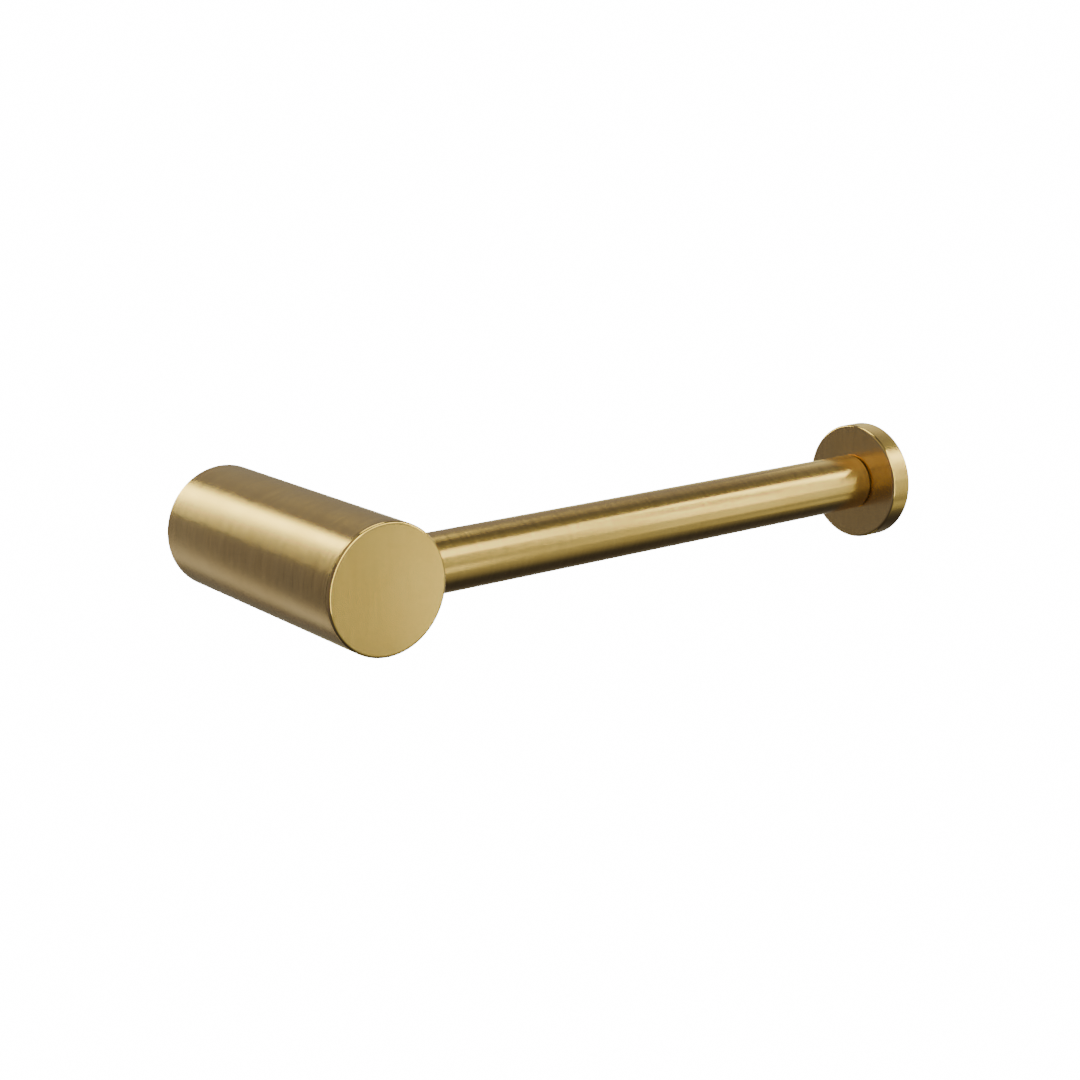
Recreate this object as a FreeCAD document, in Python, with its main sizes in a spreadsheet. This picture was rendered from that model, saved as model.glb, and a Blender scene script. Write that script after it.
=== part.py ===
"""Wall-mounted toilet paper holder: a round barrel on a hidden bracket, a roll bar and an end disc.

Frame, in millimetres: +Z up, +Y into the wall, +X along the roll bar towards its free end. The origin
is the centre of the barrel's open back end, on the wall's surface, so all of it lies at Y <= 0.

How it goes together. A round bracket is screwed to the wall through two counterbored holes. The barrel,
a tube closed by a turned cap, slides over the bracket, and a grub screw in its underside bears on the
bracket's flat. An anchor block fills the barrel's front end. The roll bar, a tube with a turned plug in
each end, passes through the barrel's side into the block, and a cone-pointed clamp screw, reached
through the barrel's open back, locks the root plug's spigot. At the free end a stud joins the disc to
the tip plug over a thin washer.
"""

import FreeCAD, Part

import os

import Sketcher
from FreeCAD import Vector

doc = FreeCAD.newDocument("PaperHolder")

# --------------------------------------------------------------------------------------------------
# Driving dimensions, in millimetres. Every piece takes its own sizes and its fits from these cells.
# --------------------------------------------------------------------------------------------------

DIMENSIONS = [
    # barrel and its cap
    ("barrel_dia", 32.0, "outside of the barrel and of its cap"),
    ("barrel_reach", 76.5, "from the wall to the barrel's front face"),
    ("barrel_wall", 2.5, "wall of the barrel tube"),
    ("barrel_mouth_chamfer", 0.4, "lead-in inside the barrel's open back end"),
    ("edge_round", 0.7, "rounding of the cap's and the disc's outer edges"),
    ("cap_plate", 1.2, "thickness of the cap in front of the tube"),
    ("cap_spigot_length", 3.0, "length of the cap's spigot inside the tube"),
    ("cap_spigot_wall", 2.6, "wall of that spigot, which is hollow"),
    # roll bar
    ("bar_dia", 15.2, "outside of the roll bar"),
    ("bar_wall", 1.2, "wall of the roll bar's tube"),
    ("bar_front_margin", 5.4, "from the barrel's front face to the nearest side of the bar"),
    ("bar_free_length", 150.0, "from the barrel's side to the end disc, where the roll hangs"),
    ("bar_entry", 5.5, "from the barrel's side in to the flat that the bar's root end bears on"),
    ("bar_end_chamfer", 0.25, "chamfer round the bar's free end"),
    # plugs in the bar's ends
    ("root_plug_length", 14.0, "length of the root plug inside the tube"),
    ("tip_plug_length", 14.0, "length of the tip plug inside the tube"),
    ("spigot_dia", 10.0, "root plug's spigot, which enters the anchor block"),
    ("spigot_past_axis", 7.0, "from the barrel's axis to the spigot's end"),
    ("groove_depth", 1.2, "depth of the spigot's 90 degree groove for the clamp screw"),
    # anchor block
    ("block_length", 22.0, "length of the anchor block along the barrel"),
    ("block_front_gap", 0.3, "space between the cap's spigot and the block"),
    ("cross_bore_relief", 0.5, "space past the spigot's end in the block's cross bore"),
    # clamp screw and stud, both M6
    ("m6_dia", 6.0, "thread of the clamp screw and of the stud"),
    ("m6_hex", 3.0, "their sockets across flats"),
    ("m6_hex_depth", 2.5, "depth of their sockets"),
    ("m6_chamfer", 0.6, "chamfer on their flat ends"),
    ("clamp_length", 8.0, "length of the clamp screw"),
    ("clamp_tip_dia", 1.0, "flat at the tip of the clamp screw's 90 degree cone"),
    ("stud_in_disc", 4.0, "stud's length in the disc"),
    ("stud_in_plug", 11.5, "stud's length in the tip plug"),
    ("stud_end_space", 0.5, "space past each end of the stud"),
    # end disc and its washer
    ("disc_dia", 32.0, "outside of the end disc"),
    ("disc_thickness", 6.5, "end disc along the bar"),
    ("washer_thickness", 0.5, "washer between the bar's end and the disc"),
    ("washer_inset", 0.7, "washer's edge inside the bar's surface"),
    # wall bracket
    ("bracket_length", 14.0, "wall bracket's length from the wall"),
    ("bracket_chamfer", 0.8, "lead-in round the bracket's front edge"),
    ("bracket_floor", 4.0, "thickness under the wall screws' heads"),
    ("bracket_rim", 2.72, "thickness outside the counterbores for the wall screws"),
    ("bracket_flat_depth", 1.8, "depth of the flat under the grub screw"),
    ("bracket_flat_start", 3.0, "from the wall to the start of that flat"),
    ("wall_screw_hole_dia", 4.5, "holes for the wall screws"),
    ("wall_screw_head_dia", 8.4, "counterbores for the wall screws' heads"),
    # grub screw, M4
    ("grub_dia", 4.0, "grub screw's thread"),
    ("grub_length", 4.0, "length of the grub screw"),
    ("grub_from_wall", 8.5, "from the wall to the grub screw's axis"),
    ("grub_chamfer", 0.5, "chamfer on the grub screw's ends"),
    ("grub_hex", 2.0, "grub screw's socket across flats"),
    ("grub_hex_depth", 1.8, "depth of that socket"),
    # fits
    ("bracket_fit", 0.08, "radial clearance of the bracket in the barrel, which slides"),
    ("plug_fit", 0.05, "radial clearance of the cap and the plugs, which are bonded in"),
    ("block_fit", 0.06, "radial clearance of the anchor block in the barrel"),
    ("bar_hole_fit", 0.05, "radial clearance of the bar in the barrel's side and in the block"),
    ("washer_fit", 0.2, "radial clearance of the washer on the stud"),
    ("thread_fit", 0.03, "radial clearance that stands for a screw thread"),
    ("contact_gap", 0.02, "space between a screw's point and what it bears on"),
]

sheet = doc.addObject("Spreadsheet::Sheet", "Dims")
for row, (alias, value, note) in enumerate(DIMENSIONS, start=1):
    sheet.set(f"A{row}", note)
    sheet.set(f"B{row}", str(value))
    sheet.setAlias(f"B{row}", alias)
doc.recompute()

# Sizes that several pieces share, each written once as an expression on the sheet's cells.
BARREL_R = "(Dims.barrel_dia / 2)"
BORE_R = "(Dims.barrel_dia / 2 - Dims.barrel_wall)"
BAR_R = "(Dims.bar_dia / 2)"
BAR_BORE_R = "(Dims.bar_dia / 2 - Dims.bar_wall)"
SPIGOT_R = "(Dims.spigot_dia / 2)"
M6_R = "(Dims.m6_dia / 2)"
M6_HOLE_R = "(Dims.m6_dia / 2 + Dims.thread_fit)"
GRUB_R = "(Dims.grub_dia / 2)"
FRONT_Y = "(-Dims.barrel_reach)"
TUBE_FRONT_Y = "(Dims.cap_plate - Dims.barrel_reach)"
CAP_BACK_Y = f"({TUBE_FRONT_Y} + Dims.cap_spigot_length)"
BLOCK_FRONT_Y = f"({CAP_BACK_Y} + Dims.block_front_gap)"
BLOCK_BACK_Y = f"({BLOCK_FRONT_Y} + Dims.block_length)"
BAR_AXIS_Y = f"({FRONT_Y} + Dims.bar_front_margin + {BAR_R})"
CLAMP_TIP_Y = (
    f"({BAR_AXIS_Y} + {SPIGOT_R} - Dims.groove_depth + Dims.clamp_tip_dia / 2 + Dims.contact_gap)"
)
CLAMP_END_Y = f"({CLAMP_TIP_Y} + Dims.clamp_length)"
SEAT_X = f"({BARREL_R} - Dims.bar_entry)"
DISC_X = f"({BARREL_R} + Dims.bar_free_length)"
BAR_END_X = f"({DISC_X} - Dims.washer_thickness)"
STUD_ROOT_X = f"({BAR_END_X} - Dims.stud_in_plug)"
STUD_HEAD_X = f"({DISC_X} + Dims.stud_in_disc)"
BRACKET_R = f"({BORE_R} - Dims.bracket_fit)"
WALL_SCREW_X = f"({BRACKET_R} - Dims.bracket_rim - Dims.wall_screw_head_dia / 2)"
FLAT_Z = f"(Dims.bracket_flat_depth - {BRACKET_R})"
GRUB_TIP_Z = f"({FLAT_Z} - Dims.contact_gap)"
GRUB_END_Z = f"({GRUB_TIP_Z} - Dims.grub_length)"


def size(expression):
    """The value of an expression on the sheet, in millimetres."""
    return float(sheet.evalExpression(str(expression)))


# --------------------------------------------------------------------------------------------------
# Ways of making a piece. Every size that goes in is an expression on the sheet, or a plain 0 for an axis.
# --------------------------------------------------------------------------------------------------


def new_body(label, y=None):
    """An empty body, whose own origin stands at y along the barrel's axis."""
    body = doc.addObject("PartDesign::Body", label)
    body.Label = label
    if y:
        body.setExpression("Placement.Base.y", y)
    return body


def origin_plane(body, role):
    """One of the body's own origin planes."""
    return next(feature for feature in body.Origin.OriginFeatures if feature.Role == role)


def new_sketch(body, name, plane, lift=None):
    """A sketch on one of the body's origin planes, or lifted off it along its normal."""
    sketch = body.newObject("Sketcher::SketchObject", name)
    sketch.AttachmentSupport = [(origin_plane(body, plane), "")]
    sketch.MapMode = "FlatFace"
    if lift:
        sketch.setExpression("AttachmentOffset.Base.z", lift)
    return sketch


def constrain(sketch, constraint, expression):
    """Adds a sized constraint and binds it to the sheet."""
    index = sketch.addConstraint(constraint)
    sketch.setExpression(f"Constraints[{index}]", expression)


def fix_point(sketch, geometry, end, x, y):
    """Holds one end or centre of a sketch element at x, y from the sketch's origin."""
    for kind, axis, place in (("DistanceX", -2, x), ("DistanceY", -1, y)):
        if place == 0:
            sketch.addConstraint(Sketcher.Constraint("PointOnObject", geometry, end, axis))
        else:
            constraint = Sketcher.Constraint(kind, -1, 1, geometry, end, size(place))
            constrain(sketch, constraint, place)


def outline(body, name, plane, corners, lift=None):
    """A closed outline of straight lines through corners, each an (x, y) pair."""
    sketch = new_sketch(body, name, plane, lift)
    points = [Vector(size(x), size(y), 0) for x, y in corners]
    for here, there in zip(points, points[1:] + points[:1]):
        sketch.addGeometry(Part.LineSegment(here, there), False)
    for i, (x, y) in enumerate(corners):
        before = (i - 1) % len(corners)
        sketch.addConstraint(Sketcher.Constraint("Coincident", before, 2, i, 1))
        fix_point(sketch, i, 1, x, y)
    return sketch


def circles(body, name, plane, centres, radius, lift=None):
    """Equal circles about centres, each an (x, y) pair."""
    sketch = new_sketch(body, name, plane, lift)
    for x, y in centres:
        circle = Part.Circle(Vector(size(x), size(y), 0), Vector(0, 0, 1), size(radius))
        i = sketch.addGeometry(circle, False)
        fix_point(sketch, i, 3, x, y)
        constrain(sketch, Sketcher.Constraint("Radius", i, size(radius)), radius)
    return sketch


def turn(body, name, corners, axis="H_Axis", plane="XY_Plane"):
    """A turned solid: the outline swept right round the sketch's horizontal or vertical axis."""
    turned = body.newObject("PartDesign::Revolution", name)
    turned.Profile = outline(body, name + "_profile", plane, corners)
    turned.ReferenceAxis = (turned.Profile[0], [axis])
    turned.Angle = 360
    doc.recompute()


def check_cut(body, feature, volume_before):
    """Stops the build if a cutting feature took nothing away."""
    if not feature.Shape.Volume < volume_before - 1e-6:
        raise RuntimeError(f"{body.Label}: {feature.Name} cut nothing")


def cut(body, name, sketch, depth=None, along_normal=False):
    """A pocket from the sketch, to a depth or through all, against the sketch's normal unless told."""
    volume_before = body.Tip.Shape.Volume
    pocket = body.newObject("PartDesign::Pocket", name)
    pocket.Profile = sketch
    pocket.Reversed = along_normal
    if depth:
        pocket.Type = "Length"
        pocket.setExpression("Length", depth)
    else:
        pocket.Type = "ThroughAll"
    doc.recompute()
    check_cut(body, pocket, volume_before)


def hex_socket(body, name, across_flats, depth, start, direction):
    """A hexagonal socket from a start point, an (x, y, z) triple, towards a direction."""
    volume_before = body.Tip.Shape.Volume
    prism = body.newObject("PartDesign::SubtractivePrism", name)
    prism.AttachmentSupport = [(origin_plane(body, "XY_Plane"), "")]
    prism.MapMode = "ObjectXY"
    prism.AttachmentOffset = FreeCAD.Placement(Vector(), FreeCAD.Rotation(Vector(0, 0, 1), direction))
    for letter, place in zip("xyz", start):
        if place != 0:
            prism.setExpression(f"AttachmentOffset.Base.{letter}", place)
    prism.Polygon = 6
    prism.setExpression("Circumradius", f"{across_flats} / 2 / cos(30)")
    prism.setExpression("Height", depth)
    doc.recompute()
    check_cut(body, prism, volume_before)


def dress(body, kind, name, amount, places, along, radius):
    """A Fillet or Chamfer of the circular edges of one radius at given places along the turning axis."""
    finished = body.Tip
    wanted = [size(place) for place in places]
    edges = []
    for i, edge in enumerate(finished.Shape.Edges, start=1):
        if isinstance(edge.Curve, Part.Circle) and abs(edge.Curve.Radius - size(radius)) < 1e-6:
            place = edge.Curve.Center.dot(along)
            if any(abs(place - one) < 1e-6 for one in wanted):
                edges.append(f"Edge{i}")
    if len(edges) != len(places):
        raise RuntimeError(f"{body.Label}: {name} found {len(edges)} edges, not {len(places)}")
    feature = body.newObject("PartDesign::" + kind, name)
    feature.Base = (finished, edges)
    feature.setExpression("Radius" if kind == "Fillet" else "Size", amount)
    doc.recompute()


ALONG_X = Vector(1, 0, 0)
ALONG_Y = Vector(0, 1, 0)
ALONG_Z = Vector(0, 0, 1)

# --------------------------------------------------------------------------------------------------
# Wall bracket: a turned disc with two counterbored holes and a milled flat that runs out of its front.
# --------------------------------------------------------------------------------------------------

wall_bracket = new_body("wall_bracket")
turn(
    wall_bracket,
    "bracket_turning",
    [(0, 0), (BRACKET_R, 0), (BRACKET_R, "-Dims.bracket_length"), (0, "-Dims.bracket_length")],
    "V_Axis",
)
dress(
    wall_bracket,
    "Chamfer",
    "bracket_lead_in",
    "Dims.bracket_chamfer",
    ["-Dims.bracket_length"],
    ALONG_Y,
    BRACKET_R,
)
WALL_SCREW_CENTRES = [(f"-{WALL_SCREW_X}", 0), (WALL_SCREW_X, 0)]
screw_holes = circles(
    wall_bracket, "screw_hole_circles", "XZ_Plane", WALL_SCREW_CENTRES, "Dims.wall_screw_hole_dia / 2"
)
cut(wall_bracket, "screw_holes", screw_holes, along_normal=True)
counterbores = circles(
    wall_bracket,
    "counterbore_circles",
    "XZ_Plane",
    WALL_SCREW_CENTRES,
    "Dims.wall_screw_head_dia / 2",
    "Dims.bracket_floor",
)
cut(wall_bracket, "counterbores", counterbores, along_normal=True)
flat_outline = outline(
    wall_bracket,
    "flat_outline",
    "XY_Plane",
    [
        (f"-{BARREL_R}", "-Dims.bracket_flat_start"),
        (f"-{BARREL_R}", "-Dims.bracket_length - 1"),
        (BARREL_R, "-Dims.bracket_length - 1"),
        (BARREL_R, "-Dims.bracket_flat_start"),
    ],
    FLAT_Z,
)
cut(wall_bracket, "grub_flat", flat_outline)

# --------------------------------------------------------------------------------------------------
# Barrel: a tube with a round hole in its side for the roll bar and a tapped hole beneath for the grub
# screw, and the cap that closes its front, set in with a hollow spigot and finished flush.
# --------------------------------------------------------------------------------------------------

barrel_tube = new_body("barrel_tube")
turn(
    barrel_tube,
    "barrel_turning",
    [(BORE_R, 0), (BARREL_R, 0), (BARREL_R, TUBE_FRONT_Y), (BORE_R, TUBE_FRONT_Y)],
    "V_Axis",
)
dress(
    barrel_tube, "Chamfer", "mouth_lead_in", "Dims.barrel_mouth_chamfer", ["0"], ALONG_Y, BORE_R
)
side_hole = circles(
    barrel_tube, "side_hole_circle", "YZ_Plane", [(BAR_AXIS_Y, 0)], f"{BAR_R} + Dims.bar_hole_fit"
)
cut(barrel_tube, "side_hole", side_hole, along_normal=True)
grub_hole = circles(
    barrel_tube,
    "grub_hole_circle",
    "XY_Plane",
    [(0, "-Dims.grub_from_wall")],
    f"{GRUB_R} + Dims.thread_fit",
)
cut(barrel_tube, "grub_hole", grub_hole)

barrel_cap = new_body("barrel_cap")
CAP_SPIGOT_R = f"({BORE_R} - Dims.plug_fit)"
CAP_RECESS_R = f"({CAP_SPIGOT_R} - Dims.cap_spigot_wall)"
turn(
    barrel_cap,
    "cap_turning",
    [
        (0, FRONT_Y),
        (BARREL_R, FRONT_Y),
        (BARREL_R, TUBE_FRONT_Y),
        (CAP_SPIGOT_R, TUBE_FRONT_Y),
        (CAP_SPIGOT_R, CAP_BACK_Y),
        (CAP_RECESS_R, CAP_BACK_Y),
        (CAP_RECESS_R, TUBE_FRONT_Y),
        (0, TUBE_FRONT_Y),
    ],
    "V_Axis",
)
dress(barrel_cap, "Fillet", "cap_edge", "Dims.edge_round", [FRONT_Y], ALONG_Y, BARREL_R)

# --------------------------------------------------------------------------------------------------
# Anchor block: a plug in the barrel's front end. A spot face seats the bar's root end, a cross bore
# takes the root plug's spigot, and a tapped hole from the back takes the clamp screw.
# --------------------------------------------------------------------------------------------------

anchor_block = new_body("anchor_block")
BLOCK_R = f"({BORE_R} - Dims.block_fit)"
turn(
    anchor_block,
    "block_turning",
    [(0, BLOCK_FRONT_Y), (BLOCK_R, BLOCK_FRONT_Y), (BLOCK_R, BLOCK_BACK_Y), (0, BLOCK_BACK_Y)],
    "V_Axis",
)
bar_seat = circles(
    anchor_block,
    "bar_seat_circle",
    "YZ_Plane",
    [(BAR_AXIS_Y, 0)],
    f"{BAR_R} + Dims.bar_hole_fit",
    SEAT_X,
)
cut(anchor_block, "bar_seat", bar_seat, along_normal=True)
cross_bore = circles(
    anchor_block,
    "cross_bore_circle",
    "YZ_Plane",
    [(BAR_AXIS_Y, 0)],
    f"{SPIGOT_R} + Dims.plug_fit",
    "-Dims.spigot_past_axis - Dims.cross_bore_relief",
)
cut(anchor_block, "cross_bore", cross_bore, along_normal=True)
clamp_hole = circles(anchor_block, "clamp_hole_circle", "XZ_Plane", [(0, 0)], M6_HOLE_R, f"-{BAR_AXIS_Y}")
cut(anchor_block, "clamp_hole", clamp_hole)

# --------------------------------------------------------------------------------------------------
# Roll bar: a tube, a root plug with a grooved spigot and a tapped tip plug, all on the bar's axis.
# --------------------------------------------------------------------------------------------------

roll_bar = new_body("roll_bar", BAR_AXIS_Y)
turn(
    roll_bar,
    "bar_turning",
    [(SEAT_X, BAR_BORE_R), (BAR_END_X, BAR_BORE_R), (BAR_END_X, BAR_R), (SEAT_X, BAR_R)],
)
dress(roll_bar, "Chamfer", "bar_end", "Dims.bar_end_chamfer", [BAR_END_X], ALONG_X, BAR_R)

root_plug = new_body("root_plug", BAR_AXIS_Y)
PLUG_R = f"({BAR_BORE_R} - Dims.plug_fit)"
turn(
    root_plug,
    "root_turning",
    [
        ("-Dims.spigot_past_axis", 0),
        ("-Dims.spigot_past_axis", SPIGOT_R),
        ("-Dims.groove_depth", SPIGOT_R),
        (0, f"{SPIGOT_R} - Dims.groove_depth"),
        ("Dims.groove_depth", SPIGOT_R),
        (SEAT_X, SPIGOT_R),
        (SEAT_X, PLUG_R),
        (f"{SEAT_X} + Dims.root_plug_length", PLUG_R),
        (f"{SEAT_X} + Dims.root_plug_length", 0),
    ],
)

tip_plug = new_body("tip_plug", BAR_AXIS_Y)
turn(
    tip_plug,
    "tip_turning",
    [
        (f"{BAR_END_X} - Dims.tip_plug_length", 0),
        (f"{BAR_END_X} - Dims.tip_plug_length", PLUG_R),
        (BAR_END_X, PLUG_R),
        (BAR_END_X, M6_HOLE_R),
        (f"{STUD_ROOT_X} - Dims.stud_end_space", M6_HOLE_R),
        (f"{STUD_ROOT_X} - Dims.stud_end_space", 0),
    ],
)

# --------------------------------------------------------------------------------------------------
# Free end: the disc with a blind tapped hole, the washer behind it, and the stud that joins the disc to
# the tip plug.
# --------------------------------------------------------------------------------------------------

end_disc = new_body("end_disc", BAR_AXIS_Y)
DISC_R = "(Dims.disc_dia / 2)"
DISC_OUT_X = f"({DISC_X} + Dims.disc_thickness)"
turn(
    end_disc,
    "disc_turning",
    [
        (f"{STUD_HEAD_X} + Dims.stud_end_space", 0),
        (f"{STUD_HEAD_X} + Dims.stud_end_space", M6_HOLE_R),
        (DISC_X, M6_HOLE_R),
        (DISC_X, DISC_R),
        (DISC_OUT_X, DISC_R),
        (DISC_OUT_X, 0),
    ],
)
dress(end_disc, "Fillet", "disc_edges", "Dims.edge_round", [DISC_X, DISC_OUT_X], ALONG_X, DISC_R)

disc_washer = new_body("disc_washer", BAR_AXIS_Y)
WASHER_HOLE_R = f"({M6_R} + Dims.washer_fit)"
WASHER_R = f"({BAR_R} - Dims.washer_inset)"
turn(
    disc_washer,
    "washer_turning",
    [(BAR_END_X, WASHER_HOLE_R), (DISC_X, WASHER_HOLE_R), (DISC_X, WASHER_R), (BAR_END_X, WASHER_R)],
)

disc_stud = new_body("disc_stud", BAR_AXIS_Y)
turn(
    disc_stud,
    "stud_turning",
    [(STUD_ROOT_X, 0), (STUD_ROOT_X, M6_R), (STUD_HEAD_X, M6_R), (STUD_HEAD_X, 0)],
)
dress(
    disc_stud, "Chamfer", "stud_ends", "Dims.m6_chamfer", [STUD_ROOT_X, STUD_HEAD_X], ALONG_X, M6_R
)
hex_socket(
    disc_stud, "stud_socket", "Dims.m6_hex", "Dims.m6_hex_depth", (STUD_HEAD_X, 0, 0), -ALONG_X
)

# --------------------------------------------------------------------------------------------------
# Clamp screw: an M6 socket set screw with a cone point, on the barrel's axis. It seats in the groove.
# --------------------------------------------------------------------------------------------------

clamp_screw = new_body("clamp_screw")
turn(
    clamp_screw,
    "clamp_turning",
    [
        (0, CLAMP_TIP_Y),
        ("Dims.clamp_tip_dia / 2", CLAMP_TIP_Y),
        (M6_R, f"{CLAMP_TIP_Y} + {M6_R} - Dims.clamp_tip_dia / 2"),
        (M6_R, CLAMP_END_Y),
        (0, CLAMP_END_Y),
    ],
    "V_Axis",
)
dress(clamp_screw, "Chamfer", "clamp_end", "Dims.m6_chamfer", [CLAMP_END_Y], ALONG_Y, M6_R)
hex_socket(
    clamp_screw, "clamp_socket", "Dims.m6_hex", "Dims.m6_hex_depth", (0, CLAMP_END_Y, 0), -ALONG_Y
)

# --------------------------------------------------------------------------------------------------
# Grub screw: an M4 socket set screw with a flat point, upright in the barrel's underside near the wall.
# --------------------------------------------------------------------------------------------------

grub_screw = new_body("grub_screw", "-Dims.grub_from_wall")
turn(
    grub_screw,
    "grub_turning",
    [(0, GRUB_TIP_Z), (GRUB_R, GRUB_TIP_Z), (GRUB_R, GRUB_END_Z), (0, GRUB_END_Z)],
    "V_Axis",
    "XZ_Plane",
)
dress(
    grub_screw, "Chamfer", "grub_ends", "Dims.grub_chamfer", [GRUB_TIP_Z, GRUB_END_Z], ALONG_Z, GRUB_R
)
hex_socket(
    grub_screw, "grub_socket", "Dims.grub_hex", "Dims.grub_hex_depth", (0, 0, GRUB_END_Z), ALONG_Z
)

# --------------------------------------------------------------------------------------------------
# Checks and export: one STEP file per piece, named after it.
# --------------------------------------------------------------------------------------------------

doc.recompute()
for item in doc.Objects:
    if "Invalid" in item.State or "Error" in item.State:
        raise RuntimeError(f"{item.Name}: {item.State}")

PIECES = [
    wall_bracket,
    barrel_tube,
    barrel_cap,
    anchor_block,
    roll_bar,
    root_plug,
    tip_plug,
    end_disc,
    disc_washer,
    disc_stud,
    clamp_screw,
    grub_screw,
]

os.makedirs("parts", exist_ok=True)
for piece in PIECES:
    if piece.Shape.isNull() or not piece.Shape.isValid() or len(piece.Shape.Solids) != 1:
        raise RuntimeError(f"{piece.Label}: not one valid solid")
    piece.Shape.exportStep(f"parts/{piece.Label}.step")
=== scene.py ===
"""Looks of a wall-mounted toilet paper holder in satin brass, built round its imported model.

Metres, +Z up, +Y into the wall, +X along the roll bar towards its free end.
"""

import math

import bpy
import numpy as np
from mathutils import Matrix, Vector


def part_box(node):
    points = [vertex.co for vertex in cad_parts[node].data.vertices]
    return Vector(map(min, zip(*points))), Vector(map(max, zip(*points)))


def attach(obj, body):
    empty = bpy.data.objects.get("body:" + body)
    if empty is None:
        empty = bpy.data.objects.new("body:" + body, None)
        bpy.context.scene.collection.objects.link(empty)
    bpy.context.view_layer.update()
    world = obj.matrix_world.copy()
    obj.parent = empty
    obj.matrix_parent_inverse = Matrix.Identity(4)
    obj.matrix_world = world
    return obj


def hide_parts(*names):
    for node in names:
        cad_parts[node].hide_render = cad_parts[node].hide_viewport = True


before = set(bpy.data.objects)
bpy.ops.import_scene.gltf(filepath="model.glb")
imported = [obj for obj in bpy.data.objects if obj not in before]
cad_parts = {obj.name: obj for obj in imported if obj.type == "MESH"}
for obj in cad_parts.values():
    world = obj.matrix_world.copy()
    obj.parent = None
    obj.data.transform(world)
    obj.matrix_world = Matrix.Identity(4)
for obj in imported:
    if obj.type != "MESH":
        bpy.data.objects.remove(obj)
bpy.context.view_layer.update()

# ------------------------------------------------------------------------------------------------
# Barrel. A drawn brass tube that stands off the wall over a hidden bracket. Its outside is
# brushed in a lathe, so the grain runs round it; a side hole takes the roll bar and a tapped hole
# the grub screw.
# ------------------------------------------------------------------------------------------------

MM = 0.001
SEGMENTS = 256
SHARP_ANGLE = math.radians(30)

barrel_low, barrel_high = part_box("barrel_tube")
BARREL_R = barrel_high.x
BARREL_WALL = 2.5 * MM
BARREL_BORE_R = BARREL_R - BARREL_WALL
MOUTH_CHAMFER = 0.4 * MM
WORN_WIDTH = 0.5 * MM


def lathe(name, profile, wear_and_seam_shade, axis, centre=(0.0, 0.0, 0.0)):
    """A turned surface. With a_j = 2 pi j / SEGMENTS, point (i, j) is
    centre + along_i * axis + radius_i * (cos a_j * u + sin a_j * v). The profile's rows are
    (along, radius); it is a closed loop, or it starts and ends on the axis, where its row shrinks
    to a pole. The second argument holds one value a row, from -1 in a seam, where shade is
    painted as a dark colour, to 1 on a rubbed edge."""
    profile = np.asarray(profile, float)
    wear_and_seam_shade = np.asarray(wear_and_seam_shade, float)
    along, radius = profile.T
    axis = np.asarray(axis, float)
    u = np.roll(axis, 1)
    v = np.cross(axis, u)
    turn = np.arange(SEGMENTS) * 2 * np.pi / SEGMENTS
    spoke = np.cos(turn)[:, None] * u + np.sin(turn)[:, None] * v
    grid = along[:, None, None] * axis + radius[:, None, None] * spoke + np.asarray(centre)
    rows = len(profile)
    poles = radius[0] == 0
    if poles:
        points = np.vstack([grid[0, :1], grid[1:-1].reshape(-1, 3), grid[-1, :1]])
        worn_and_seam_shade = np.concatenate([wear_and_seam_shade[:1], np.repeat(wear_and_seam_shade[1:-1], SEGMENTS), wear_and_seam_shade[-1:]])
        ring = 1 + np.arange((rows - 2) * SEGMENTS).reshape(rows - 2, SEGMENTS)
    else:
        points = grid.reshape(-1, 3)
        worn_and_seam_shade = np.repeat(wear_and_seam_shade, SEGMENTS)
        ring = np.arange(rows * SEGMENTS).reshape(rows, SEGMENTS)
        ring = np.vstack([ring, ring[:1]])
    here, there = ring[:-1], ring[1:]
    corners = [here, np.roll(here, -1, 1), np.roll(there, -1, 1), there]
    faces = np.stack(corners, axis=-1).reshape(-1, 4).tolist()
    if poles:
        first, last = ring[0], ring[-1]
        faces += [[0, b, a] for a, b in zip(first.tolist(), np.roll(first, -1).tolist())]
        end = len(points) - 1
        faces += [[end, a, b] for a, b in zip(last.tolist(), np.roll(last, -1).tolist())]
    mesh = bpy.data.meshes.new(name)
    mesh.from_pydata(points.tolist(), [], faces)
    outward(mesh)
    mesh.shade_smooth()
    mesh.set_sharp_from_angle(angle=SHARP_ANGLE)
    # Per point, 1 on rubbed edges and -1 in seams, where a dark colour is painted as shade.
    layer = mesh.attributes.new("wear_and_seam_shade", "FLOAT", "POINT")
    layer.data.foreach_set("value", worn_and_seam_shade.astype(np.float32))
    piece = bpy.data.objects.new(name, mesh)
    bpy.context.scene.collection.objects.link(piece)
    return piece


def outward(mesh):
    """Turns the faces of a closed mesh outwards. Its signed volume, a sixth of the sum over
    triangles of p0 . (p1 x p2), is positive when they are."""
    mesh.calc_loop_triangles()
    points = np.empty(len(mesh.vertices) * 3)
    mesh.vertices.foreach_get("co", points)
    corners = np.empty(len(mesh.loop_triangles) * 3, int)
    mesh.loop_triangles.foreach_get("vertices", corners)
    a, b, c = points.reshape(-1, 3)[corners].reshape(-1, 3, 3).transpose(1, 0, 2)
    if np.einsum("ij,ij->", a, np.cross(b, c)) < 0:
        mesh.flip_normals()


def bore_out(piece, name, start, end, radius):
    """Cuts a round hole from start to end: the piece less a cylinder of that radius."""
    start, end = np.asarray(start, float), np.asarray(end, float)
    length = np.linalg.norm(end - start)
    axis = (end - start) / length
    cylinder = [(0, 0), (0, radius), (length, radius), (length, 0)]
    drill = lathe(name, cylinder, [0, 0, 0, 0], axis, start)
    cut = piece.modifiers.new(name, "BOOLEAN")
    cut.operation = "DIFFERENCE"
    cut.solver = "EXACT"
    cut.object = drill
    bpy.context.view_layer.update()
    cut_mesh = bpy.data.meshes.new_from_object(
        piece.evaluated_get(bpy.context.evaluated_depsgraph_get())
    )
    piece.modifiers.clear()
    piece.data = cut_mesh
    piece.data.name = piece.name
    bpy.data.objects.remove(drill)


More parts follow.
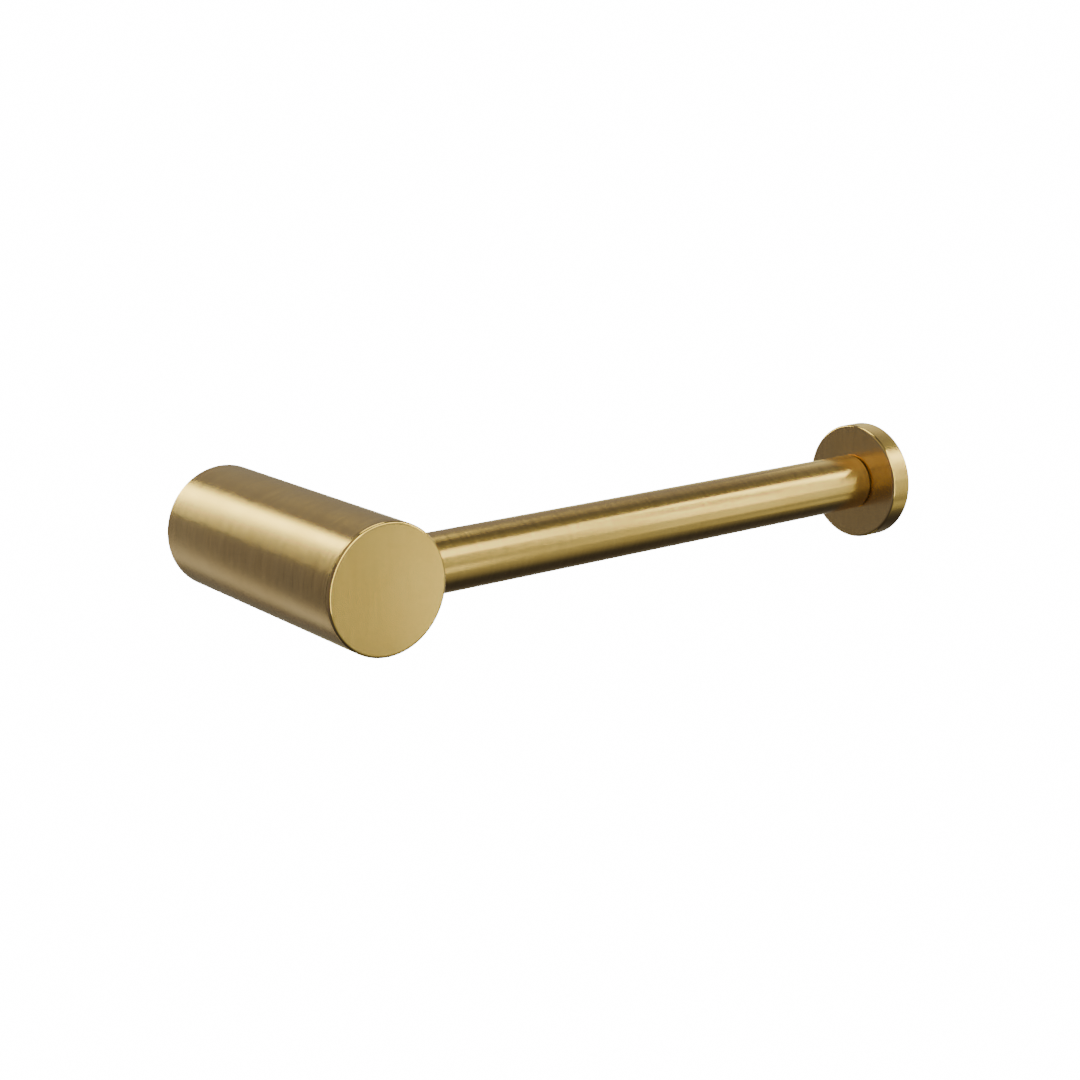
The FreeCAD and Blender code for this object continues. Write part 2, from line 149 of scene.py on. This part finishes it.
def linear(colour):
    """An sRGB hex colour as linear RGBA."""
    channels = np.array([int(colour[i : i + 2], 16) for i in (1, 3, 5)]) / 255
    low, high = channels / 12.92, ((channels + 0.055) / 1.055) ** 2.4
    return (*np.where(channels <= 0.04045, low, high).tolist(), 1.0)


def add(tree, kind, inputs=(), **settings):
    """Adds a node. settings name its properties, or its inputs with an underscore for each space;
    inputs maps an input's name or number to the output that feeds it, or to a fixed value."""
    node = tree.nodes.new(kind)
    for key, value in settings.items():
        if hasattr(node, key):
            setattr(node, key, value)
        else:
            node.inputs[key.replace("_", " ")].default_value = value
    for key, source in dict(inputs).items():
        if isinstance(source, bpy.types.NodeSocket):
            tree.links.new(source, node.inputs[key])
        else:
            node.inputs[key].default_value = source
    return node


# Nearly all of a noise node's values lie in this range.
NOISE_LOW = 0.3
NOISE_HIGH = 0.7


def spread(tree, value, low, high):
    """A noise value's usual range, stretched to run from low to high."""
    return add(
        tree,
        "ShaderNodeMapRange",
        {"Value": value},
        From_Min=NOISE_LOW,
        From_Max=NOISE_HIGH,
        To_Min=low,
        To_Max=high,
    ).outputs["Result"]


# What worked metals share. Scratches are cut 0.01 mm deep; clouds are the faint uneven tone that
# cleaning and handling leave; seams are painted dark brown as shade, and are dull.
SCRATCH_DEPTH = 0.01 * MM
SCRATCH_STRENGTH = 0.35
SCRATCH_GLOSS = 0.04
CLOUD_SIZE = 14 * MM
CLOUD_TINT = 0.03
CLOUD_SHADE = 0.01
CLOUD_GLOSS = 0.01
EDGE_POLISH = 0.1
# Painted shade: the dark brown that seams are coloured, for the shade down in them.
SEAM_PAINTED_SHADE = "#3a2c18"
SEAM_ROUGHNESS = 0.7


def worked_metal(name, bright, deep, roughness, grain, marks, tangent, anisotropy):
    """A metal with the marks of its making. Its grain is noise on Object coordinates, whose cell
    is `grain` (x, y, z) in metres: long along the scratches and fine across them. `marks` is how
    strongly they show, 0 to 1. The gloss spreads along `tangent`, across the scratches. The
    mesh's wear-and-shade value is 1 on rubbed edges, which are smoother, and -1 down in seams,
    where the colour is painted dark brown as shade and the surface is duller."""
    material = bpy.data.materials.new(name)
    material.use_nodes = True
    tree = material.node_tree
    shader = tree.nodes["Principled BSDF"]
    place = add(tree, "ShaderNodeTexCoord").outputs["Object"]
    cells = add(
        tree, "ShaderNodeMapping", {"Vector": place}, Scale=[1 / size for size in grain]
    ).outputs["Vector"]
    scratches = add(
        tree, "ShaderNodeTexNoise", {"Vector": cells}, Scale=1.0, Detail=3.0, Roughness=0.6
    ).outputs["Fac"]
    clouds = add(
        tree, "ShaderNodeTexNoise", {"Vector": place}, Scale=1 / CLOUD_SIZE, Detail=2.0
    ).outputs["Fac"]
    wear_and_seam_shade = add(tree, "ShaderNodeAttribute", attribute_name="wear_and_seam_shade").outputs["Fac"]
    rubbed = add(tree, "ShaderNodeMath", {0: wear_and_seam_shade, 1: 0.0}, operation="MAXIMUM").outputs["Value"]
    # Painted shade mask: 1 down in a seam, 0 elsewhere.
    seam = add(
        tree,
        "ShaderNodeMapRange",
        {"Value": wear_and_seam_shade},
        From_Min=-1.0,
        From_Max=0.0,
        To_Min=1.0,
        To_Max=0.0,
    ).outputs["Result"]

    tone = add(
        tree,
        "ShaderNodeMix",
        {
            "Factor": spread(tree, scratches, 0.5 - marks / 2, 0.5 + marks / 2),
            "A": linear(deep),
            "B": linear(bright),
        },
        data_type="RGBA",
    ).outputs["Result"]
    cast = add(
        tree,
        "ShaderNodeHueSaturation",
        {
            "Color": tone,
            "Saturation": spread(tree, clouds, 1 - CLOUD_TINT, 1 + CLOUD_TINT),
            "Value": spread(tree, clouds, 1 + CLOUD_SHADE, 1 - CLOUD_SHADE),
        },
    ).outputs["Color"]
    # Painted shade: seams turn dark brown where shade falls in them.
    seam_shaded_colour = add(
        tree,
        "ShaderNodeMix",
        {"Factor": seam, "A": cast, "B": linear(SEAM_PAINTED_SHADE)},
        data_type="RGBA",
    ).outputs["Result"]

    swing = SCRATCH_GLOSS * marks
    ground = spread(tree, scratches, roughness - swing, roughness + swing)
    uneven = spread(tree, clouds, -CLOUD_GLOSS, CLOUD_GLOSS)
    dull = add(tree, "ShaderNodeMath", {0: ground, 1: uneven}, operation="ADD").outputs["Value"]
    rubbed_down = add(
        tree, "ShaderNodeMath", {0: rubbed, 1: -EDGE_POLISH, 2: dull}, operation="MULTIPLY_ADD"
    ).outputs["Value"]
    dulled_in_seam = add(
        tree,
        "ShaderNodeMix",
        {"Factor": seam, "A": rubbed_down, "B": SEAM_ROUGHNESS},
        data_type="FLOAT",
    ).outputs["Result"]
    bump = add(
        tree,
        "ShaderNodeBump",
        {"Height": scratches},
        Strength=SCRATCH_STRENGTH,
        Distance=SCRATCH_DEPTH * marks,
    ).outputs["Normal"]

    across = add(tree, "ShaderNodeCombineXYZ", X=tangent[0], Y=tangent[1], Z=tangent[2])
    tree.links.new(seam_shaded_colour, shader.inputs["Base Color"])
    tree.links.new(dulled_in_seam, shader.inputs["Roughness"])
    tree.links.new(bump, shader.inputs["Normal"])
    tree.links.new(across.outputs["Vector"], shader.inputs["Tangent"])
    shader.inputs["Metallic"].default_value = 1.0
    shader.inputs["Anisotropic"].default_value = anisotropy
    return material


# Satin brass: copper and zinc, brushed with a fibre wheel and lacquered. The grain is fine
# scratches in one direction, which blur what is mirrored across them and leave it sharp along
# them. They show more on the turned sides than on the flat faces.
BRASS = "#fed9a8"
BRASS_DEEP = "#efca99"
SATIN_ROUGHNESS = 0.22
SATIN_ANISOTROPY = 0.65
ROUND_MARKS = 1.0
FACE_MARKS = 0.55
# Real scratches are about 0.05 mm wide and too fine to show, so these are drawn coarser.
SCRATCH_WIDTH = 0.30 * MM
SCRATCH_LENGTH = 9 * MM


def satin_brass(name, grain, marks, tangent):
    """Brushed and lacquered brass, for one direction of the grain."""
    return worked_metal(
        name, BRASS, BRASS_DEEP, SATIN_ROUGHNESS, grain, marks, tangent, SATIN_ANISOTROPY
    )


turned_round_y = satin_brass(
    "satin_brass_brushed_round_y",
    (SCRATCH_LENGTH, SCRATCH_WIDTH, SCRATCH_LENGTH),
    ROUND_MARKS,
    (0, 1, 0),
)

barrel_profile = [
    (barrel_low.y, BARREL_R),
    (barrel_high.y - WORN_WIDTH, BARREL_R),
    (barrel_high.y, BARREL_R),
    (barrel_high.y, BARREL_BORE_R + MOUTH_CHAMFER),
    (barrel_high.y - MOUTH_CHAMFER, BARREL_BORE_R),
    (barrel_low.y, BARREL_BORE_R),
]
barrel = lathe("barrel", barrel_profile, [0, 0, 1, 0, 0, 0], (0, 1, 0))
bar_low, bar_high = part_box("roll_bar")
bar_y = (bar_low.y + bar_high.y) / 2
BAR_R = (bar_high.y - bar_low.y) / 2
grub_low, grub_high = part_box("grub_screw")
grub_y = (grub_low.y + grub_high.y) / 2
FIT = 0.05 * MM
bore_out(barrel, "side_hole", (0, bar_y, 0), (2 * BARREL_R, bar_y, 0), BAR_R + FIT)
bore_out(barrel, "grub_hole", (0, grub_y, 0), (0, grub_y, -2 * BARREL_R), grub_high.x + FIT)
barrel.data.shade_smooth()
barrel.data.set_sharp_from_angle(angle=SHARP_ANGLE)
barrel.data.materials.append(turned_round_y)
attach(barrel, "holder")
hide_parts("barrel_tube")

# ------------------------------------------------------------------------------------------------
# Barrel cap. A turned brass cap, set into the tube with a spigot and finished flush with it. Its
# face is brushed straight up and down, and its edge is rounded and a little brighter from
# handling.
# ------------------------------------------------------------------------------------------------

EDGE_ROUND = 0.7 * MM
EDGE_STEPS = 8
SUPPORT = 0.08 * MM
SEAM_WIDTH = 0.12 * MM
SEAM_DEPTH = 0.2 * MM
FACE_ANGLE = math.radians(8)
cap_low, cap_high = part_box("barrel_cap")
CAP_SPIGOT_R = BARREL_BORE_R - FIT
CAP_SPIGOT_WALL = 2.6 * MM
CAP_RECESS_R = CAP_SPIGOT_R - CAP_SPIGOT_WALL


def rounded_edge(along, radius, outwards):
    """Profile rows of a quarter circle of radius EDGE_ROUND, from a flat face at `along` to a rim
    of the given radius, turning towards `outwards`. A support row before and after it keeps the
    face and the rim true."""
    angle = np.linspace(0, np.pi / 2, EDGE_STEPS + 1)
    inner = radius - EDGE_ROUND + EDGE_ROUND * np.sin(angle)
    depth = along + outwards * EDGE_ROUND * (1 - np.cos(angle))
    arc = list(zip(depth, inner))
    before = (along, radius - EDGE_ROUND - SUPPORT)
    after = (along + outwards * (EDGE_ROUND + SUPPORT), radius)
    wear_and_seam_shade = [0.0] + [1.0] * len(arc) + [0.0]
    return [before, *arc, after], wear_and_seam_shade


def face_slots(piece, axis):
    """Gives the faces that look along an axis the second material: those whose normal lies within
    FACE_ANGLE of it."""
    flat = np.empty(len(piece.data.polygons) * 3)
    piece.data.polygons.foreach_get("normal", flat)
    faces = np.abs(flat.reshape(-1, 3) @ np.asarray(axis, float)) > math.cos(FACE_ANGLE)
    piece.data.polygons.foreach_set("material_index", faces.astype(np.int32))


edge, edge_wear = rounded_edge(cap_low.y, BARREL_R, 1)
tube_front = barrel_low.y
cap_profile = [
    (cap_low.y, 0),
    *edge,
    (tube_front - SEAM_WIDTH, BARREL_R),
    (tube_front - SEAM_WIDTH, BARREL_R - SEAM_DEPTH),
    (tube_front, BARREL_R - SEAM_DEPTH),
    (tube_front, CAP_SPIGOT_R),
    (cap_high.y, CAP_SPIGOT_R),
    (cap_high.y, CAP_RECESS_R),
    (tube_front, CAP_RECESS_R),
    (tube_front, 0),
]
# The two -1 rows are the seam groove, painted dark brown as shade.
cap_wear_and_seam_shade = [0, *edge_wear, 0, -1, -1, 0, 0, 0, 0, 0]
cap = lathe("barrel_front", cap_profile, cap_wear_and_seam_shade, (0, 1, 0))
brushed_face_y = satin_brass(
    "satin_brass_brushed_upright_y",
    (SCRATCH_WIDTH, SCRATCH_LENGTH, SCRATCH_LENGTH),
    FACE_MARKS,
    (1, 0, 0),
)
cap.data.materials.append(turned_round_y)
cap.data.materials.append(brushed_face_y)
face_slots(cap, (0, 1, 0))
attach(cap, "holder")
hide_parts("barrel_cap")

# ------------------------------------------------------------------------------------------------
# Roll bar. A brass tube that the roll hangs on, brushed in a lathe like the barrel. Its root end
# goes through the barrel's side into the anchor block; its free end has a fine chamfer against
# the washer.
# ------------------------------------------------------------------------------------------------

BAR_WALL = 1.2 * MM
BAR_CHAMFER = 0.25 * MM
bar_profile = [
    (bar_low.x, BAR_R),
    (bar_high.x - BAR_CHAMFER - SUPPORT, BAR_R),
    (bar_high.x - BAR_CHAMFER, BAR_R),
    (bar_high.x, BAR_R - BAR_CHAMFER),
    (bar_high.x, BAR_R - BAR_WALL),
    (bar_low.x, BAR_R - BAR_WALL),
]
bar = lathe("bar", bar_profile, [0, 0, 1, 1, 0, 0], (1, 0, 0), (0, bar_y, 0))
turned_round_x = satin_brass(
    "satin_brass_brushed_round_x",
    (SCRATCH_WIDTH, SCRATCH_LENGTH, SCRATCH_LENGTH),
    ROUND_MARKS,
    (1, 0, 0),
)
bar.data.materials.append(turned_round_x)
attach(bar, "holder")
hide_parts("roll_bar")

# ------------------------------------------------------------------------------------------------
# End disc. Turned from brass bar, with both edges rounded. Its rim is brushed round and its two
# faces straight up and down. A blind tapped hole in the inner face takes the stud.
# ------------------------------------------------------------------------------------------------

disc_low, disc_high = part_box("end_disc")
DISC_R = (disc_high.y - disc_low.y) / 2
STUD_HOLE_R = 3.03 * MM
STUD_HOLE_DEPTH = 4.5 * MM
inner_edge, inner_wear = rounded_edge(disc_low.x, DISC_R, 1)
outer_edge, outer_wear = rounded_edge(disc_high.x, DISC_R, -1)
disc_profile = [
    (disc_low.x + STUD_HOLE_DEPTH, 0),
    (disc_low.x + STUD_HOLE_DEPTH, STUD_HOLE_R),
    (disc_low.x, STUD_HOLE_R),
    *inner_edge,
    *outer_edge[::-1],
    (disc_high.x, 0),
]
disc_wear = [0, 0, 0, *inner_wear, *outer_wear[::-1], 0]
disc = lathe("disc", disc_profile, disc_wear, (1, 0, 0), (0, bar_y, 0))
brushed_face_x = satin_brass(
    "satin_brass_brushed_upright_x",
    (SCRATCH_LENGTH, SCRATCH_WIDTH, SCRATCH_LENGTH),
    FACE_MARKS,
    (0, 1, 0),
)
disc.data.materials.append(turned_round_x)
disc.data.materials.append(brushed_face_x)
face_slots(disc, (1, 0, 0))
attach(disc, "holder")
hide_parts("end_disc")

# ------------------------------------------------------------------------------------------------
# Washer. A thin moulded nylon ring. It lets the disc be tightened on the bar without a scratch.
# Its near-black colour is painted shade: it shows as a dark line, the shade in the gap
# between the two.
# ------------------------------------------------------------------------------------------------

# Nylon, injection moulded against spark-eroded steel: matt, with a fine even pebble. Its
# near-black colours are painted shade for the gap between bar and disc.
NYLON_LIGHT = "#232220"
NYLON_DEEP = "#1b1a19"
NYLON_ROUGHNESS = 0.5
NYLON_GLOSS = 0.05
NYLON_PEBBLE = 0.35 * MM
PEBBLE_DEPTH = 0.02 * MM
PEBBLE_STRENGTH = 0.2


def moulded_nylon(name):
    """Moulded nylon whose pebble is noise of one cell size in every direction."""
    material = bpy.data.materials.new(name)
    material.use_nodes = True
    tree = material.node_tree
    shader = tree.nodes["Principled BSDF"]
    place = add(tree, "ShaderNodeTexCoord").outputs["Object"]
    pebble = add(
        tree, "ShaderNodeTexNoise", {"Vector": place}, Scale=1 / NYLON_PEBBLE, Detail=2.0
    ).outputs["Fac"]
    colour = add(
        tree,
        "ShaderNodeMix",
        {
            "Factor": spread(tree, pebble, 0, 1),
            "A": linear(NYLON_DEEP),
            "B": linear(NYLON_LIGHT),
        },
        data_type="RGBA",
    ).outputs["Result"]
    dull = spread(tree, pebble, NYLON_ROUGHNESS + NYLON_GLOSS, NYLON_ROUGHNESS - NYLON_GLOSS)
    bump = add(
        tree,
        "ShaderNodeBump",
        {"Height": pebble},
        Strength=PEBBLE_STRENGTH,
        Distance=PEBBLE_DEPTH,
    ).outputs["Normal"]
    tree.links.new(colour, shader.inputs["Base Color"])
    tree.links.new(dull, shader.inputs["Roughness"])
    tree.links.new(bump, shader.inputs["Normal"])
    return material


def dress(material, *names):
    """Gives CAD nodes a material in each of their slots."""
    for name in names:
        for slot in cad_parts[name].material_slots:
            slot.material = material


# Near black as painted shade in the gap between bar and disc.
dress(moulded_nylon("nylon_moulded_painted_shade"), "disc_washer")

# ------------------------------------------------------------------------------------------------
# Anchor block and plugs. Plain brass turned on a lathe and left as machined, inside the barrel
# and the bar. The clamp screw holds the root plug in the block; the tip plug takes the disc's
# stud.
# ------------------------------------------------------------------------------------------------

# Feed marks of the tool run round the work, about 0.15 mm apart; they are drawn at 0.25 mm.
FEED_MARKS = 0.25 * MM
ROUND_LENGTH = 30 * MM
RAW_BRASS = "#ecc782"
RAW_BRASS_DEEP = "#ddb56d"
RAW_BRASS_ROUGHNESS = 0.32
RAW_BRASS_ANISOTROPY = 0.4
block_brass = worked_metal(
    "raw_brass_turned_y",
    RAW_BRASS,
    RAW_BRASS_DEEP,
    RAW_BRASS_ROUGHNESS,
    (ROUND_LENGTH, FEED_MARKS, ROUND_LENGTH),
    ROUND_MARKS,
    (0, 1, 0),
    RAW_BRASS_ANISOTROPY,
)
plug_brass = worked_metal(
    "raw_brass_turned_x",
    RAW_BRASS,
    RAW_BRASS_DEEP,
    RAW_BRASS_ROUGHNESS,
    (FEED_MARKS, ROUND_LENGTH, ROUND_LENGTH),
    ROUND_MARKS,
    (1, 0, 0),
    RAW_BRASS_ANISOTROPY,
)
dress(block_brass, "anchor_block")
dress(plug_brass, "root_plug", "tip_plug")

# ------------------------------------------------------------------------------------------------
# Wall bracket. A turned steel boss, zinc plated, that two screws hold to the wall and the barrel
# slides over. Its feed marks show through the plating, which has a slight blue-grey bloom.
# ------------------------------------------------------------------------------------------------

ZINC = "#cdd2d4"
ZINC_DEEP = "#b9bec1"
ZINC_ROUGHNESS = 0.38
ZINC_ANISOTROPY = 0.3
zinc = worked_metal(
    "zinc_plated_steel_turned",
    ZINC,
    ZINC_DEEP,
    ZINC_ROUGHNESS,
    (ROUND_LENGTH, FEED_MARKS, ROUND_LENGTH),
    ROUND_MARKS,
    (0, 1, 0),
    ZINC_ANISOTROPY,
)
dress(zinc, "wall_bracket")

# ------------------------------------------------------------------------------------------------
# Screws. A stainless grub screw locks the barrel to the bracket from below; the clamp screw and
# the disc's stud are stainless too. All are rolled and tumbled, so their grain has no direction.
# ------------------------------------------------------------------------------------------------

# Tumbling leaves dents of about 0.1 mm; they are drawn at 0.4 mm so that they show.
TUMBLE_MARKS = 0.4 * MM
STAINLESS = "#c9c6c0"
STAINLESS_DEEP = "#b3b0aa"
STAINLESS_ROUGHNESS = 0.3
stainless = worked_metal(
    "stainless_steel_tumbled",
    STAINLESS,
    STAINLESS_DEEP,
    STAINLESS_ROUGHNESS,
    (TUMBLE_MARKS, TUMBLE_MARKS, TUMBLE_MARKS),
    ROUND_MARKS,
    (0, 0, 1),
    0.0,
)
dress(stainless, "grub_screw", "clamp_screw", "disc_stud")

# ------------------------------------------------------------------------------------------------
# Studio. A camera, a pale floor well below the holder, and soft light: large softboxes round a
# dim room. The room and the floor are plain white to the camera.
# ------------------------------------------------------------------------------------------------

CAMERA_PLACE = (-0.225785, -0.420455, 0.117743)
CAMERA_DOWN = 0.25285
CAMERA_RIGHT = 0.6641
LENS_MM = 62.80
SENSOR_MM = 36.0
NEAREST_SEEN = 10 * MM
camera_data = bpy.data.cameras.new("camera")
camera_data.lens = LENS_MM
camera_data.sensor_width = SENSOR_MM
camera_data.clip_start = NEAREST_SEEN
camera = bpy.data.objects.new("camera", camera_data)
camera.location = CAMERA_PLACE
camera.rotation_euler = (math.pi / 2 - CAMERA_DOWN, 0.0, -CAMERA_RIGHT)
bpy.context.scene.collection.objects.link(camera)
bpy.context.scene.camera = camera

# Bright enough for the floor and the room to reach plain white on film.
WHITE_LEVEL = 16.0
FLOOR_DROP = 0.45
FLOOR_SIZE = 40.0
half = FLOOR_SIZE / 2
floor_corners = [(-half, -half), (half, -half), (half, half), (-half, half)]
floor_mesh = bpy.data.meshes.new("floor")
floor_mesh.from_pydata([(x, y, -FLOOR_DROP) for x, y in floor_corners], [], [(0, 1, 2, 3)])
floor = bpy.data.objects.new("floor", floor_mesh)
bpy.context.scene.collection.objects.link(floor)
lit_white = bpy.data.materials.new("lit_white_floor")
lit_white.use_nodes = True
lit_white.node_tree.nodes.clear()
glow = add(lit_white.node_tree, "ShaderNodeEmission", Strength=WHITE_LEVEL)
add(lit_white.node_tree, "ShaderNodeOutputMaterial", {"Surface": glow.outputs["Emission"]})
floor.data.materials.append(lit_white)
floor.visible_glossy = False
floor.visible_diffuse = False
floor.visible_shadow = False


def towards(azimuth, elevation):
    """The unit vector at an azimuth from +Y towards +X, and an elevation, in degrees."""
    a, e = math.radians(azimuth), math.radians(elevation)
    return np.array([math.sin(a) * math.cos(e), math.cos(a) * math.cos(e), math.sin(e)])


def softbox(name, azimuth, elevation, half_width, half_height, radiance, away, tint, centre):
    """A rectangular softbox that faces a centre from `away` metres. Its half sizes are tangents
    of the half angles it fills, and its power is pi times its area times its radiance."""
    out = towards(azimuth, elevation)
    data = bpy.data.lights.new(name, "AREA")
    data.shape = "RECTANGLE"
    data.size, data.size_y = 2 * away * half_width, 2 * away * half_height
    data.energy = math.pi * data.size * data.size_y * radiance
    data.color = tint
    lamp = bpy.data.objects.new(name, data)
    lamp.location = (centre + away * out).tolist()
    lamp.rotation_euler = Vector(out.tolist()).to_track_quat("Z", "Y").to_euler()
    lamp.visible_camera = False
    bpy.context.scene.collection.objects.link(lamp)


# Colours of the lamps: golden, warm and paler cloth over the same white tubes.
GOLDEN = (1.0, 0.995, 0.35)
WARM = (1.0, 0.995, 0.31)
PALE = (1.0, 1.005, 0.70)
HOLDER_MIDDLE = np.array([0.08, -0.05, 0.0])
FACE_MIDDLE = np.array([0.0, cap_low.y, 0.0])
# Name, azimuth, elevation, half width, half height, radiance, distance, colour and what it faces.
SOFTBOXES = (
    ("rear_tall", 341, 23, 0.08, 0.34, 6.9, 1.20, WARM, HOLDER_MIDDLE),
    ("left_high", 272, 54, 0.48, 0.41, 0.24, 0.87, WARM, HOLDER_MIDDLE),
    ("front_right_tall", 118, 26, 0.04, 0.28, 9.3, 0.63, GOLDEN, HOLDER_MIDDLE),
    ("front_high", 166, 39, 0.45, 0.21, 2.1, 0.37, GOLDEN, HOLDER_MIDDLE),
    ("right_wide", 73, 5, 0.89, 0.20, 0.54, 0.25, GOLDEN, HOLDER_MIDDLE),
    ("overhead", 21, 73, 0.29, 0.24, 3.15, 0.62, WARM, HOLDER_MIDDLE),
    ("below", 27, -52, 0.12, 0.78, 0.43, 1.04, WARM, HOLDER_MIDDLE),
    ("front_right_strip", 136, 14, 0.03, 0.19, 5.0, 0.55, GOLDEN, HOLDER_MIDDLE),
    ("rear_low", 339, -16, 0.12, 0.80, 0.51, 0.96, PALE, HOLDER_MIDDLE),
    ("rear_wide", 36, -13, 0.91, 0.14, 2.6, 1.18, PALE, HOLDER_MIDDLE),
    ("right_high", 82, 22, 0.32, 0.14, 0.50, 0.25, GOLDEN, HOLDER_MIDDLE),
    ("front_right_soft", 135, 1, 0.07, 0.34, 0.96, 0.57, GOLDEN, HOLDER_MIDDLE),
    ("face_strip", 140, -15, 0.03, 0.14, 2.7, 0.18, GOLDEN, FACE_MIDDLE),
    ("front_left", 186, 10, 0.16, 0.62, 3.5, 0.90, WARM, HOLDER_MIDDLE),
    ("front_right_low", 121, -28, 0.08, 0.08, 0.38, 0.50, GOLDEN, HOLDER_MIDDLE),
)
for settings in SOFTBOXES:
    softbox(*settings)

# The dim light of the room, and softer glows in it: azimuth, elevation, cosine of the angle from
# the middle at which a glow ends, and its colour.
ROOM_LIGHT = (0.04, 0.04, 0.034)
ROOM_GLOWS = (
    (34, 11, 0.30, (0.22, 0.218, 0.18)),
    (156, 10, 0.24, (0.39, 0.396, 0.16)),
    (281, 20, 0.06, (0.12, 0.12, 0.10)),
)
world = bpy.data.worlds.new("studio_room")
bpy.context.scene.world = world
world.use_nodes = True
room = world.node_tree
room.nodes.clear()
looking = add(room, "ShaderNodeTexCoord").outputs["Generated"]
total = ROOM_LIGHT
for azimuth, elevation, edge_cosine, radiance in ROOM_GLOWS:
    centre = towards(azimuth, elevation).tolist()
    toward = add(room, "ShaderNodeVectorMath", {0: looking, 1: centre}, operation="DOT_PRODUCT")
    fade = add(
        room,
        "ShaderNodeMapRange",
        {"Value": toward.outputs["Value"]},
        interpolation_type="SMOOTHSTEP",
        From_Min=edge_cosine,
        From_Max=1.0,
    ).outputs["Result"]
    total = add(
        room, "ShaderNodeVectorMath", {0: fade, 1: radiance, 2: total}, operation="MULTIPLY_ADD"
    ).outputs["Vector"]
seen = add(room, "ShaderNodeLightPath").outputs["Is Camera Ray"]
white = (WHITE_LEVEL, WHITE_LEVEL, WHITE_LEVEL, 1.0)
colour = add(
    room, "ShaderNodeMix", {"Factor": seen, "A": total, "B": white}, data_type="RGBA"
).outputs["Result"]
sky = add(room, "ShaderNodeBackground", {"Color": colour})
add(room, "ShaderNodeOutputWorld", {"Surface": sky.outputs["Background"]})
